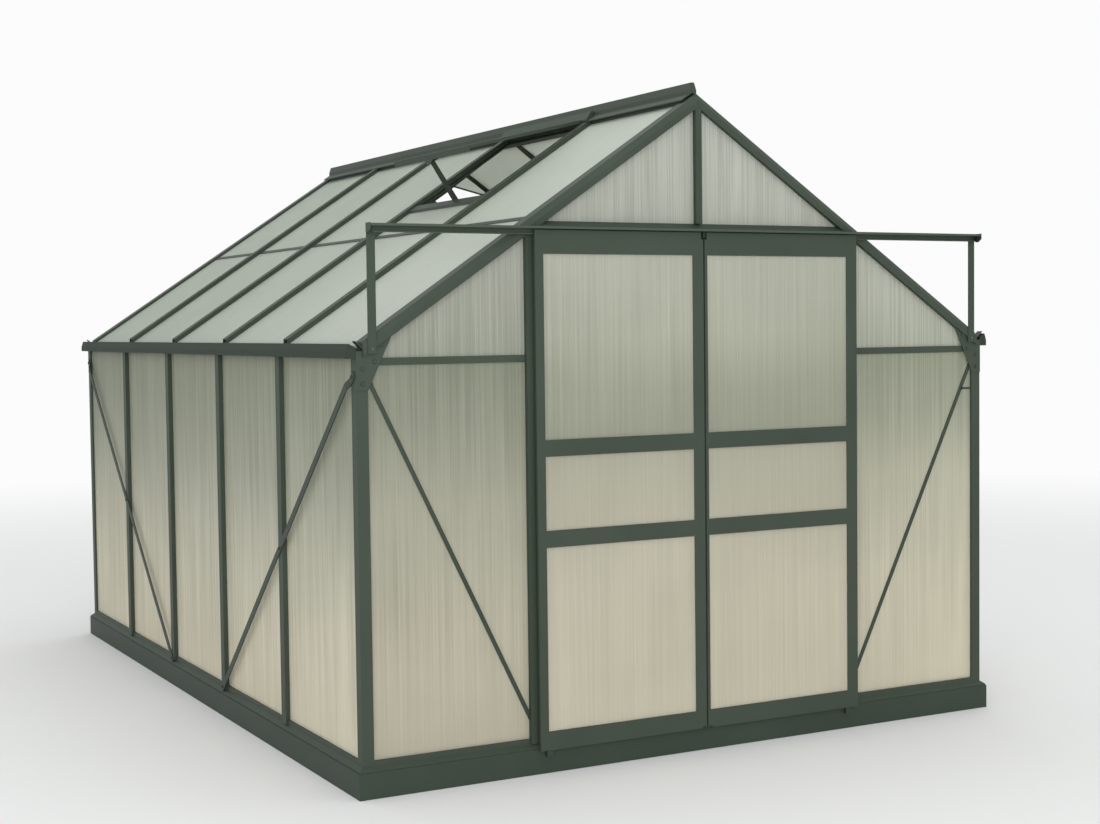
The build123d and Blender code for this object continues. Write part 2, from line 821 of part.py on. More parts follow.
with BuildPart() as vent_sashes:
    with BuildSketch(sash_plane.offset(-sash_thick)):
        with Locations((sash_length / 2, 0)):
            Rectangle(sash_length, sash_width)
            Rectangle(sash_length - 2 * sash_frame, sash_width - 2 * sash_frame, mode=Mode.SUBTRACT)
    extrude(amount=sash_thick)
    with BuildSketch(sash_plane.offset(-sash_thick - rail_deep)):
        with Locations((sash_length - rail_wide / 2, 0)):
            Rectangle(rail_wide, sash_width)
    extrude(amount=rail_deep)
    with BuildSketch(sash_plane.offset(-sash_thick + pane_low)):
        with Locations((sash_length / 2, 0)):
            Rectangle(pane_long, pane_wide)
    extrude(amount=sheet, mode=Mode.SUBTRACT)
    mirror(mirror(vent_sashes.part, about=Plane.YZ, mode=Mode.PRIVATE), about=mirror_plane)
vent_sashes.part.label = "vent_sashes"
export_step(vent_sashes.part, "parts/vent_sashes.step")

with BuildPart() as vent_panes:
    with BuildSketch(sash_plane.offset(-sash_thick + pane_low)):
        with Locations((sash_length / 2, 0)):
            Rectangle(pane_long, pane_wide)
    extrude(amount=sheet)
    mirror(mirror(vent_panes.part, about=Plane.YZ, mode=Mode.PRIVATE), about=mirror_plane)
vent_panes.part.label = "vent_panes"
export_step(vent_panes.part, "parts/vent_panes.step")

# Vent hinges: long strips that sit on the ridge skirts and carry the sashes.
hinge_over = 40.0
hinge_clear = 1.0
hinge_shoulder = 24.0
hinge_crown = 22.0
hinge_in = crest_foot + hinge_clear
hinge_out = hinge_x - sash_thick * sash_sin - hinge_clear
hinge_base = roof_z(skirt_half, skirt_high)

with BuildPart() as vent_hinges:
    with BuildSketch(left_plane(sash_y0 - hinge_over)):
        Polygon(
            (hinge_in, roof_z(hinge_in, skirt_high)),
            (skirt_half, hinge_base),
            (hinge_out, hinge_base),
            (hinge_out, hinge_z),
            (hinge_x - hinge_shoulder, ridge_top - hinge_shoulder),
            (hinge_in, ridge_top - hinge_crown),
            align=None,
        )
    extrude(amount=sash_width + 2 * hinge_over)
    mirror(mirror(vent_hinges.part, about=Plane.YZ, mode=Mode.PRIVATE), about=mirror_plane)
vent_hinges.part.label = "vent_hinges"
export_step(vent_hinges.part, "parts/vent_hinges.step")

# Vent stays prop the sashes from the curbs.
stay_wide = 18.0
stay_thick = 6.0
stay_inset = 2.0
rail_under = sash_thick + rail_deep
stay_foot_in = curb_shelf + stay_inset
stay_foot_out = stay_foot_in + stay_wide
stay_head_in = hinge_x + (sash_length - rail_wide / 2) * sash_cos - rail_under * sash_sin - stay_wide / 2
stay_head_out = stay_head_in + stay_wide


def sash_under(x):
    return hinge_z - rail_under / sash_cos - (x - hinge_x) * math.tan(sash_tilt)


with BuildPart() as vent_stays:
    with BuildSketch(left_plane(sash_mid - stay_thick / 2)):
        Polygon(
            (stay_foot_in, roof_z(stay_foot_in, roof_back)),
            (stay_foot_out, roof_z(stay_foot_out, roof_back)),
            (stay_head_out, sash_under(stay_head_out)),
            (stay_head_in, sash_under(stay_head_in)),
            align=None,
        )
    extrude(amount=stay_thick)
    mirror(mirror(vent_stays.part, about=Plane.YZ, mode=Mode.PRIVATE), about=mirror_plane)
vent_stays.part.label = "vent_stays"
export_step(vent_stays.part, "parts/vent_stays.step")

# Wall sheets stand in the sill slots and reach up into the wall heads.
wall_starts = [front_y + slot_floor] + [y + half_web for y in bar_ys]
wall_ends = [y - half_web for y in bar_ys] + [back_y - slot_floor]

with BuildPart() as side_wall_sheets:
    with BuildSketch(side_plane(-half_width + recess)):
        for start, end in zip(wall_starts, wall_ends):
            Polygon(*block(start, end, sheet_foot, head_wall), align=None)
    extrude(amount=sheet)
    mirror(about=Plane.YZ)
side_wall_sheets.part.label = "side_wall_sheets"
export_step(side_wall_sheets.part, "parts/side_wall_sheets.step")

# Roof sheets lie in the bar slots between the ridge, the strips and the wall heads.
roof_starts = [front_y + roof_slot_y] + [y + half_web for y in bar_ys]
roof_ends = [y - half_web for y in bar_ys] + [back_y - roof_slot_y]

with BuildPart() as roof_sheets:
    for i in range(bay_count):
        top_x = curb_slot if i == vent_bay else ridge_slot
        with BuildSketch(left_plane(roof_starts[i])):
            Polygon(*slope_strip(top_x, strip_x - web_run, roof_recess, roof_back), align=None)
            Polygon(*slope_strip(strip_x + web_run, roof_foot, roof_recess, roof_back), align=None)
        extrude(amount=roof_ends[i] - roof_starts[i])
    mirror(mirror(roof_sheets.part, about=Plane.YZ, mode=Mode.PRIVATE), about=mirror_plane)
roof_sheets.part.label = "roof_sheets"
export_step(roof_sheets.part, "parts/roof_sheets.step")

# Gable sheets: lower and upper side panels and the two front gable triangles.
panel_out = half_width - slot_floor
panel_in = jamb_x + half_web
strip_low = mid_rail_z - strip_web / 2
strip_high = mid_rail_z + strip_web / 2

with BuildPart() as front_sheets:
    with BuildSketch(left_plane(front_y + recess)):
        Polygon(*block(panel_in, panel_out, sheet_foot, strip_low), align=None)
        Polygon(
            (panel_in, strip_high),
            (panel_out, strip_high),
            (panel_out, roof_z(panel_out, gable_slot_top)),
            (jamb_out, roof_z(jamb_out, gable_slot_top)),
            (jamb_out, jamb_top),
            (panel_in, jamb_top),
            align=None,
        )
        Polygon(
            (gable_web, gable_slot),
            (under_rafter(head_rail_top), gable_slot),
            (under_rafter(head_rail_top), roof_z(under_rafter(head_rail_top), gable_slot_top)),
            (gable_half, roof_z(gable_half, gable_slot_top)),
            (gable_half, roof_z(gable_half, rafter_depth)),
            (gable_web, roof_z(gable_half, rafter_depth)),
            align=None,
        )
    extrude(amount=sheet)
    mirror(about=Plane.YZ)
front_sheets.part.label = "front_sheets"
export_step(front_sheets.part, "parts/front_sheets.step")

rear_inner = jamb_x - half_web

with BuildPart() as rear_sheets:
    with BuildSketch(left_plane(back_y - sheet_back)):
        Polygon(*block(panel_in, panel_out, sheet_foot, strip_low), align=None)
        Polygon(
            (panel_in, strip_high),
            (panel_out, strip_high),
            (panel_out, roof_z(panel_out, gable_slot_top)),
            (jamb_out, roof_z(jamb_out, gable_slot_top)),
            (jamb_out, jamb_top),
            (panel_in, jamb_top),
            align=None,
        )
        Polygon(*block(half_web, rear_inner, sheet_foot, strip_low), align=None)
        Polygon(
            (half_web, strip_high),
            (rear_inner, strip_high),
            (rear_inner, jamb_top),
            (jamb_x - half_bar, jamb_top),
            (jamb_x - half_bar, roof_z(jamb_x - half_bar, gable_slot_top)),
            (half_bar, roof_z(half_bar, gable_slot_top)),
            (half_bar, roof_z(half_bar, rafter_depth)),
            (half_web, roof_z(half_bar, rafter_depth)),
            align=None,
        )
    extrude(amount=sheet)
    mirror(about=Plane.YZ)
rear_sheets.part.label = "rear_sheets"
export_step(rear_sheets.part, "parts/rear_sheets.step")

# Door leaves: framed panels that hang from rollers in front of the gable. A thin upstand
# rises past the track ledge. The left meeting stile is wide and the right one slim.
meet_gap = 3.0
leaf_over = 1.0
leaf_back = 24.0
leaf_thick = 12.0
upstand = 4.0
leaf_drop = 5.0
leaf_clear = 6.0
left_meet = 42.0
left_outer = 30.5
right_meet = 10.0
right_outer = 45.0
bottom_rail = 62.0
top_rail = 77.0
low_rail = (661.0, 716.0)
high_rail = (956.0, 1010.0)
pane_bite = 7.0
groove = 8.0
groove_deep = 22.0
notch_half = 6.0
notch_drop = 6.0
leaf_out = jamb_x + leaf_over
leaf_bottom = base_height - leaf_drop
leaf_top = hood_bottom - leaf_clear
leaf_shoulder = track_bottom - leaf_clear
groove_top = leaf_bottom + groove_deep
notch_x = stop_half + notch_half
notch_z = hood_bottom - stop_drop - notch_drop
leaf_front_y = front_y - leaf_back - leaf_thick
leaf_mid_y = front_y - leaf_back - leaf_thick / 2
pane_y = leaf_mid_y - sheet / 2
pane_rows = [
    (leaf_bottom + bottom_rail, leaf_bottom + low_rail[0]),
    (leaf_bottom + low_rail[1], leaf_bottom + high_rail[0]),
    (leaf_bottom + high_rail[1], leaf_top - top_rail),
]
leaf_outline = [
    (meet_gap, leaf_bottom),
    (leaf_out, leaf_bottom),
    (leaf_out, leaf_top),
    (notch_x, leaf_top),
    (notch_x, notch_z),
    (meet_gap, notch_z),
]
shoulder_line = block(0, leaf_out, leaf_shoulder, leaf_top)
left_glass = (meet_gap + left_meet, leaf_out - left_outer)
right_glass = (meet_gap + right_meet, leaf_out - right_outer)


def right_plane(y):
    return Plane(origin=(0, y, 0), x_dir=(1, 0, 0), z_dir=(0, -1, 0))


with BuildPart() as left_door_frame:
    with BuildSketch(left_plane(leaf_front_y)):
        Polygon(*leaf_outline, align=None)
        for low, high in pane_rows:
            Polygon(*block(*left_glass, low, high), align=None, mode=Mode.SUBTRACT)
    extrude(amount=leaf_thick)
    with BuildSketch(left_plane(pane_y)):
        for low, high in pane_rows:
            Polygon(
                *block(left_glass[0] - pane_bite, left_glass[1] + pane_bite, low - pane_bite, high + pane_bite),
                align=None,
            )
    extrude(amount=sheet, mode=Mode.SUBTRACT)
    with BuildSketch(left_plane(leaf_front_y + upstand)):
        Polygon(*shoulder_line, align=None)
    extrude(amount=leaf_thick - upstand, mode=Mode.SUBTRACT)
    with BuildSketch(Plane.XY.offset(leaf_bottom)):
        with Locations((-(meet_gap + leaf_out) / 2, leaf_mid_y)):
            Rectangle(leaf_out - meet_gap, groove)
    extrude(amount=groove_deep, mode=Mode.SUBTRACT)
left_door_frame.part.label = "left_door_frame"
export_step(left_door_frame.part, "parts/left_door_frame.step")

with BuildPart() as right_door_frame:
    with BuildSketch(right_plane(leaf_front_y)):
        Polygon(*leaf_outline, align=None)
        for low, high in pane_rows:
            Polygon(*block(*right_glass, low, high), align=None, mode=Mode.SUBTRACT)
    extrude(amount=-leaf_thick)
    with BuildSketch(right_plane(pane_y)):
        for low, high in pane_rows:
            Polygon(
                *block(right_glass[0] - pane_bite, right_glass[1] + pane_bite, low - pane_bite, high + pane_bite),
                align=None,
            )
    extrude(amount=-sheet, mode=Mode.SUBTRACT)
    with BuildSketch(right_plane(leaf_front_y + upstand)):
        Polygon(*shoulder_line, align=None)
    extrude(amount=upstand - leaf_thick, mode=Mode.SUBTRACT)
    with BuildSketch(Plane.XY.offset(leaf_bottom)):
        with Locations(((meet_gap + leaf_out) / 2, leaf_mid_y)):
            Rectangle(leaf_out - meet_gap, groove)
    extrude(amount=groove_deep, mode=Mode.SUBTRACT)
right_door_frame.part.label = "right_door_frame"
export_step(right_door_frame.part, "parts/right_door_frame.step")

with BuildPart() as left_door_panes:
    with BuildSketch(left_plane(pane_y)):
        for low, high in pane_rows:
            Polygon(
                *block(left_glass[0] - pane_bite, left_glass[1] + pane_bite, low - pane_bite, high + pane_bite),
                align=None,
            )
    extrude(amount=sheet)
left_door_panes.part.label = "left_door_panes"
export_step(left_door_panes.part, "parts/left_door_panes.step")

with BuildPart() as right_door_panes:
    with BuildSketch(right_plane(pane_y)):
        for low, high in pane_rows:
            Polygon(
                *block(right_glass[0] - pane_bite, right_glass[1] + pane_bite, low - pane_bite, high + pane_bite),
                align=None,
            )
    extrude(amount=-sheet)
right_door_panes.part.label = "right_door_panes"
export_step(right_door_panes.part, "parts/right_door_panes.step")

# Rollers: wheels on short pins behind the upstand, running on the track ledge.
wheel_radius = 6.0
wheel_wide = 5.0
wheel_inset = 80.0
wheel_gap = 0.5
wheel_back = 21.0
pin_radius = 2.5
wheel_z = ledge_z + wheel_gap + wheel_radius
wheel_front = wheel_back + wheel_wide
pin_long = leaf_back + leaf_thick - upstand - wheel_front
wheel_spots = [(meet_gap + wheel_inset, wheel_z), (leaf_out - wheel_inset, wheel_z)]

with BuildPart() as left_door_rollers:
    with BuildSketch(left_plane(front_y - wheel_front)):
        with Locations(*wheel_spots):
            Circle(wheel_radius)
    extrude(amount=wheel_wide)
    with BuildSketch(left_plane(front_y - wheel_front - pin_long)):
        with Locations(*wheel_spots):
            Circle(pin_radius)
    extrude(amount=pin_long)
left_door_rollers.part.label = "left_door_rollers"
export_step(left_door_rollers.part, "parts/left_door_rollers.step")

with BuildPart() as right_door_rollers:
    mirror(left_door_rollers.part, about=Plane.YZ)
right_door_rollers.part.label = "right_door_rollers"
export_step(right_door_rollers.part, "parts/right_door_rollers.step")

# Door guides: brackets on the base whose fins stand in the grooves under the leaves.
guide_inset = 37.0
guide_wide = 24.0
guide_plate = 4.0
guide_drop = 23.0
fin_thick = 2.0
fin_clear = 8.0
guide_x = jamb_x - guide_inset
guide_z = base_height - guide_drop
fin_top = groove_top - fin_clear

with BuildPart() as door_guides:
    with BuildSketch(side_plane(-guide_x - guide_wide / 2)):
        Polygon(
            (base_front, guide_z - guide_plate),
            (base_front, guide_z),
            (leaf_mid_y + fin_thick / 2, guide_z),
            (leaf_mid_y + fin_thick / 2, fin_top),
            (leaf_mid_y - fin_thick / 2, fin_top),
            (leaf_mid_y - fin_thick / 2, guide_z - guide_plate),
            align=None,
        )
    extrude(amount=guide_wide)
    mirror(about=Plane.YZ)
door_guides.part.label = "door_guides"
export_step(door_guides.part, "parts/door_guides.step")
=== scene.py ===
import json
import math

import bmesh
import bpy
from mathutils import Matrix, Vector


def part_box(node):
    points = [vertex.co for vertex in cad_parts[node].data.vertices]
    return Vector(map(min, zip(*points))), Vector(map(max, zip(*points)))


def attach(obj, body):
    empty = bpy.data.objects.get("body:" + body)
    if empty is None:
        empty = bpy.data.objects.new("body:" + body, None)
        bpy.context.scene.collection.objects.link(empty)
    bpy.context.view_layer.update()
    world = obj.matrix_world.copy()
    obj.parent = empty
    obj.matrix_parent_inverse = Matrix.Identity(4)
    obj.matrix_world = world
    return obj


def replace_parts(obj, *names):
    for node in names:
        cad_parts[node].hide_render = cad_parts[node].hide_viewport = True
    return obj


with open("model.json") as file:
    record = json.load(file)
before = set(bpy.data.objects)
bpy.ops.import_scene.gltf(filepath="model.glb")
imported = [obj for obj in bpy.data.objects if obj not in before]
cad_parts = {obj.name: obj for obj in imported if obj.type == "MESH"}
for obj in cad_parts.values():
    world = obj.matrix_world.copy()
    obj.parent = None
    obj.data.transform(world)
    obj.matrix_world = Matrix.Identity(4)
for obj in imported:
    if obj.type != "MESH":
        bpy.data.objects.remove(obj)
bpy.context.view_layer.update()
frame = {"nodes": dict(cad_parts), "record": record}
nodes = frame["nodes"]

# Sizes in metres that the small parts are placed by. They are those of the CAD model.
front_y = -1.6905
back_y = 1.7225
half_width = 1.25
wall_height = 1.363
verge_rise = 0.0355
pitch = math.radians(33.66)
vent_open = math.radians(20.2)
hinge_x = 0.050
hinge_lift = 0.0216
bay = 0.675
end_inset = 0.019
recess = 0.008
plate = 0.003
bar_out = 0.009
gutter_out = 0.031
gutter_rise = 0.045
gutter_skirt = 0.020
gutter_lean = 0.008
strap_x = 1.199
track_back = 0.013
roof_top = wall_height + verge_rise + math.tan(pitch) * half_width

# Pattern of the sheets. Each noise has a scale over the flutes, a scale along them and a number
# that picks it. The weights say how strongly each kind of line shows.
flute_pitch = 0.006
flute_weight = 0.45
streak_scale = (185.0, 1.1, 3.1)
streak_weight = 19.0
band_scale = (72.0, 1.5, 5.3)
band_weight = 4.5
wide_scale = (24.0, 1.1, 7.7)
wide_weight = 1.1
cloud_scale = (1.7, 2.2, 1.3)
cloud_weight = 0.6
pattern_low = 0.15
pattern_high = 0.85
line_tone = 0.90
light_through = 0.55

# Tone in which the camera sees the surroundings. It lights nothing.
plain_white = (0.97, 0.97, 0.97, 1)


# Materials
def new_material(name):
    m = bpy.data.materials.new(name)
    m.use_nodes = True
    m.node_tree.nodes.clear()
    return m, m.node_tree.nodes, m.node_tree.links


def node(ns, kind, **values):
    n = ns.new(kind)
    for key, value in values.items():
        setattr(n, key, value)
    return n


def calc(ns, ln, operation, *terms):
    """A math node whose terms are sockets or plain numbers."""
    n = node(ns, "ShaderNodeMath", operation=operation)
    for socket, term in zip(n.inputs, terms):
        if isinstance(term, (int, float)):
            socket.default_value = term
        else:
            ln.new(term, socket)
    return n.outputs["Value"]


def ramp(ns, ln, factor, stops):
    n = ns.new("ShaderNodeValToRGB")
    e = n.color_ramp.elements
    e[0].position, e[0].color = stops[0][0], (*stops[0][1], 1)
    e[1].position, e[1].color = stops[-1][0], (*stops[-1][1], 1)
    for p, c in stops[1:-1]:
        x = e.new(p)
        x.color = (*c, 1)
    ln.new(factor, n.inputs["Fac"])
    return n.outputs["Color"]


def noise(ns, ln, vector, scale, detail):
    n = node(ns, "ShaderNodeTexNoise")
    n.inputs["Scale"].default_value = scale
    n.inputs["Detail"].default_value = detail
    ln.new(vector, n.inputs["Vector"])
    return n.outputs["Fac"]


def map_range(ns, ln, value, start, end, low=0.0, high=1.0, kind="LINEAR"):
    """Turns a value between start and end into one between low and high."""
    n = node(ns, "ShaderNodeMapRange", interpolation_type=kind)
    n.inputs["From Min"].default_value = start
    n.inputs["From Max"].default_value = end
    n.inputs["To Min"].default_value = low
    n.inputs["To Max"].default_value = high
    ln.new(value, n.inputs["Value"])
    return n.outputs["Result"]


def bump(ns, ln, height, strength, distance):
    """A bump node, whose Normal input is left free for another normal."""
    n = node(ns, "ShaderNodeBump")
    n.inputs["Strength"].default_value = strength
    n.inputs["Distance"].default_value = distance
    ln.new(height, n.inputs["Height"])
    return n


def blend(ns, ln, factor, first, second):
    """Two shaders mixed by a socket or a plain number."""
    n = node(ns, "ShaderNodeMixShader")
    if isinstance(factor, float):
        n.inputs["Fac"].default_value = factor
    else:
        ln.new(factor, n.inputs["Fac"])
    ln.new(first, n.inputs[1])
    ln.new(second, n.inputs[2])
    return n.outputs["Shader"]


def show(ns, ln, shader, kind="ShaderNodeOutputMaterial"):
    """Ends a material or world in its output node."""
    ln.new(shader, node(ns, kind).inputs["Surface"])


def paint(name, low, high, rough, shine=0.25, bevel=0.0012):
    """Powder coat: two close tones in large soft clouds, a fine grain and eased edges."""
    m, ns, ln = new_material(name)
    coord = node(ns, "ShaderNodeTexCoord").outputs["Object"]
    clouds = noise(ns, ln, coord, scale=2.3, detail=3.0)
    grain = noise(ns, ln, coord, scale=900.0, detail=2.0)
    bsdf = node(ns, "ShaderNodeBsdfPrincipled")
    bsdf.inputs["Specular IOR Level"].default_value = shine
    ln.new(ramp(ns, ln, clouds, [(0.3, low), (0.7, high)]), bsdf.inputs["Base Color"])
    ln.new(calc(ns, ln, "MULTIPLY_ADD", clouds, 0.2, rough - 0.1), bsdf.inputs["Roughness"])
    eased = node(ns, "ShaderNodeBevel", samples=4)
    eased.inputs["Radius"].default_value = bevel
    relief = bump(ns, ln, grain, strength=0.06, distance=0.0002)
    ln.new(eased.outputs["Normal"], relief.inputs["Normal"])
    ln.new(relief.outputs["Normal"], bsdf.inputs["Normal"])
    show(ns, ln, bsdf.outputs["BSDF"])
    return m


def lines(ns, ln, over, along, scales):
    """Noise drawn out along the flutes."""
    join = node(ns, "ShaderNodeCombineXYZ")
    ln.new(calc(ns, ln, "MULTIPLY", over, scales[0]), join.inputs["X"])
    ln.new(calc(ns, ln, "MULTIPLY", along, scales[1]), join.inputs["Y"])
    join.inputs["Z"].default_value = scales[2]
    return noise(ns, ln, join.outputs["Vector"], scale=1.0, detail=2.0)


def fluted(ns, ln, over, along, strength, broad):
    """Flutes with streaks of three widths over soft clouds, and the height of the fine relief."""
    streak = lines(ns, ln, over, along, streak_scale)
    band = lines(ns, ln, over, along, band_scale)
    wide = lines(ns, ln, over, along, wide_scale)
    cloud = lines(ns, ln, over, along, cloud_scale)
    flute = calc(ns, ln, "SINE", calc(ns, ln, "MULTIPLY", over, 2 * math.pi / flute_pitch))
    lined = calc(ns, ln, "MULTIPLY", flute, flute_weight)
    parts = [(streak, streak_weight), (band, band_weight * broad), (wide, wide_weight * broad)]
    for value, weight in parts:
        centred = calc(ns, ln, "MULTIPLY_ADD", value, weight, -weight / 2)
        lined = calc(ns, ln, "ADD", lined, centred)
    clouded = calc(ns, ln, "MULTIPLY_ADD", cloud, cloud_weight, 0.5 - cloud_weight / 2)
    mixed = calc(ns, ln, "MULTIPLY_ADD", lined, strength, clouded)
    return mixed, calc(ns, ln, "MULTIPLY_ADD", flute, 0.5, streak)


def scaled(ns, ln, colour, factor):
    """A colour times a number."""
    n = node(ns, "ShaderNodeVectorMath", operation="SCALE")
    ln.new(colour, n.inputs[0])
    ln.new(factor, n.inputs["Scale"])
    return n.outputs["Vector"]


def tinted(ns, ln, colour, tint):
    """A colour times another colour."""
    n = node(ns, "ShaderNodeVectorMath", operation="MULTIPLY")
    ln.new(colour, n.inputs[0])
    ln.new(tint, n.inputs[1])
    return n.outputs["Vector"]


def sheet(
    name, across, up, tones, clear, shade, contrast, lively=0.0, drift=(1.0, 1.0), broad=1.0
):
    """Twin-wall sheet. across and up name the axes over and along the flutes.

    tones are those of the face, clear is the tone of the light that comes through, and shade
    holds the axis, start, end and stops of painted light and shade, a slow change of tone over the
    sheets. lively makes the streaks stronger towards the end of that axis, broad makes the wide
    streaks stronger and drift is painted light, a slow change of tone from the -X side of the
    object to the +X side.
    """
    m, ns, ln = new_material(name)
    split = node(ns, "ShaderNodeSeparateXYZ")
    ln.new(node(ns, "ShaderNodeTexCoord").outputs["Object"], split.inputs["Vector"])
    axis, start, end, stops = shade
    place = map_range(ns, ln, split.outputs[axis], start, end)
    strength = calc(ns, ln, "MULTIPLY_ADD", place, contrast * lively, contrast)
    mixed, height = fluted(ns, ln, split.outputs[across], split.outputs[up], strength, broad)
    # Painted light and shade: the tone from the stops along the axis, times painted light that
    # changes from the -X side to the +X side.
    painted_light_from_side = map_range(ns, ln, split.outputs["X"], -half_width, half_width, *drift)
    slow = scaled(ns, ln, ramp(ns, ln, place, stops), painted_light_from_side)
    # The painted light and shade change the light that comes through less than the face does.
    half_slow = node(ns, "ShaderNodeGamma")
    half_slow.inputs["Gamma"].default_value = 0.5
    ln.new(slow, half_slow.inputs["Color"])

    bsdf = node(ns, "ShaderNodeBsdfPrincipled")
    bsdf.inputs["Roughness"].default_value = 0.38
    bsdf.inputs["Specular IOR Level"].default_value = 0.35
    face = ramp(ns, ln, mixed, [(pattern_low, tones[0]), (pattern_high, tones[1])])
    ln.new(tinted(ns, ln, face, slow), bsdf.inputs["Base Color"])
    relief = bump(ns, ln, height, strength=0.25, distance=0.0003)
    ln.new(relief.outputs["Normal"], bsdf.inputs["Normal"])
    glow = node(ns, "ShaderNodeBsdfTranslucent")
    dull = tuple(line_tone * c for c in clear)
    passed = ramp(ns, ln, mixed, [(pattern_low, dull), (pattern_high, clear)])
    ln.new(tinted(ns, ln, passed, half_slow.outputs["Color"]), glow.inputs["Color"])
    show(ns, ln, blend(ns, ln, light_through, bsdf.outputs["BSDF"], glow.outputs["BSDF"]))
    return m


frame_paint = paint("frame_paint", (0.038, 0.052, 0.036), (0.046, 0.062, 0.044), 0.52)
base_paint = paint("base_paint", (0.031, 0.044, 0.031), (0.038, 0.053, 0.038), 0.55)
brace_paint = paint("brace_paint", (0.034, 0.046, 0.033), (0.041, 0.055, 0.040), 0.52)
# The track gets the frame's paint made lighter: painted light on the web in the shade of the hood.
track_painted_light = paint("track_painted_light", (0.052, 0.070, 0.050), (0.062, 0.083, 0.060), 0.52)
# The gutters get the frame's paint made darker: painted shade.
gutter_painted_shade = paint("gutter_painted_shade", (0.029, 0.040, 0.028), (0.035, 0.048, 0.034), 0.6, 0.12)
black = paint("black_plastic", (0.016, 0.018, 0.016), (0.026, 0.028, 0.026), 0.55)
bolt_paint = paint("bolt_paint", (0.060, 0.084, 0.064), (0.072, 0.098, 0.076), 0.42, 0.4, 0.0006)

# The sheets are all one material. The gable and door sheets get darker tones than the side sheets:
# painted shade.
gable_tones = (0.59, 0.59, 0.495), (0.76, 0.755, 0.65)
side_tones = (0.68, 0.675, 0.575), (0.88, 0.87, 0.775)
wall_clear = (0.96, 0.955, 0.88)
# Painted light and reflections on the gable sheets: lighter and warmer low down, darkest just under
# the rail at the eaves' height, lighter and bluer above it.
gable_painted_light = (
    "Z", 0.0, 2.3,
    [
        (0.04, (1.07, 1.02, 0.975)),
        (0.22, (1.00, 0.955, 0.92)),
        (0.39, (0.87, 0.86, 0.83)),
        (0.50, (0.66, 0.68, 0.64)),
        (0.582, (0.58, 0.61, 0.56)),
        (0.595, (0.74, 0.77, 0.77)),
        (0.68, (0.82, 0.84, 0.86)),
        (0.95, (0.88, 0.92, 0.98)),
    ],
)
# Painted light and reflections on the door sheets: lighter and warmer low down, darkest just above
# the leaves' high rail, lighter again above it.
door_painted_light = (
    "Z", 0.0, 2.3,
    [
        (0.06, (1.13, 1.07, 1.03)),
        (0.30, (0.98, 0.94, 0.91)),
        (0.44, (0.84, 0.82, 0.79)),
        (0.456, (0.84, 0.82, 0.79)),
        (0.468, (0.66, 0.68, 0.64)),
        (0.54, (0.70, 0.72, 0.68)),
        (0.62, (0.82, 0.84, 0.82)),
        (0.74, (0.86, 0.88, 0.88)),
    ],
)
# Painted light on the side sheets: lighter and warmer low down, darker towards the eaves.
side_wall_painted_light = (
    "Z", 0.0, 1.4,
    [
        (0.08, (1.14, 1.085, 1.03)),
        (0.30, (1.05, 1.005, 0.96)),
        (0.50, (0.90, 0.89, 0.855)),
        (0.68, (0.70, 0.72, 0.68)),
        (0.85, (0.58, 0.61, 0.56)),
        (0.98, (0.54, 0.57, 0.51)),
    ],
)
# Painted light on the roof sheets: lighter at the front, darker towards the back.
roof_painted_light = (
    "Y", front_y, back_y,
    [
        (0.02, (1.00, 1.00, 0.98)),
        (0.25, (0.92, 0.93, 0.90)),
        (0.60, (0.84, 0.86, 0.82)),
        (0.98, (0.84, 0.86, 0.82)),
    ],
)
roof_tones = (0.66, 0.71, 0.65), (0.78, 0.82, 0.77)
roof_clear = (0.95, 0.96, 0.93)
# drift paints light on the gable and door sheets: darker on the -X side, lighter on the +X side.
gable_poly = sheet(
    "gable_sheet", "X", "Z", gable_tones, wall_clear, gable_painted_light,
    contrast=0.032, lively=7.0, drift=(0.84, 1.10),
)
door_poly = sheet(
    "door_sheet", "X", "Z", gable_tones, wall_clear, door_painted_light,
    contrast=0.045, lively=1.0, drift=(0.95, 0.99),
)
side_poly = sheet(
    "side_sheet", "Y", "Z", side_tones, wall_clear, side_wall_painted_light,
    contrast=0.04, lively=8.0, broad=2.4,
)
roof_poly = sheet(
    "roof_sheet", "Y", "X", roof_tones, roof_clear, roof_painted_light,
    contrast=0.05,
)

look_of = {
    "eave_gutters": gutter_painted_shade,
    "door_track": track_painted_light,
    "door_guides": base_paint,
    "side_wall_sheets": side_poly,
    "roof_sheets": roof_poly,
    "vent_panes": roof_poly,
    "front_sheets": gable_poly,
    "rear_sheets": gable_poly,
    "left_door_panes": door_poly,
    "right_door_panes": door_poly,
}
slot_of = {s["node"]: s["material_slot"] for s in frame["record"]["subparts"]}
by_slot = {
    "frame_paint": frame_paint,
    "base_paint": base_paint,
    "brace_paint": brace_paint,
    "black_plastic": black,
}
for name, obj in nodes.items():
    material = look_of.get(name) or by_slot[slot_of[name]]
    obj.data.materials.clear()
    obj.data.materials.append(material)
    for p in obj.data.polygons:
        p.material_index = 0


# Small parts
def mesh_piece(name, parts, material, body):
    """One object from several (verts, faces) lists."""
    verts, faces = [], []
    for v, f in parts:
        start = len(verts)
        verts += v
        faces += [[start + i for i in face] for face in f]
    data = bpy.data.meshes.new(name)
    data.from_pydata(verts, [], faces)
    data.validate()
    shape = bmesh.new()
    shape.from_mesh(data)
    bmesh.ops.recalc_face_normals(shape, faces=shape.faces)
    shape.to_mesh(data)
    shape.free()
    data.update()
    obj = bpy.data.objects.new(name, data)
    bpy.context.scene.collection.objects.link(obj)
    data.materials.append(material)
    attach(obj, body)
    return obj


# Bolts. The washer's radius and that of the dome's top are given as parts of the head's radius.
bolt_size = 0.0055
small_bolt = 0.0045
washer_over = 1.35
washer_thick = 0.001
washer_sides = 20
head_high = 0.004
head_sides = 6
head_dome = 0.0008
dome_narrow = 0.72


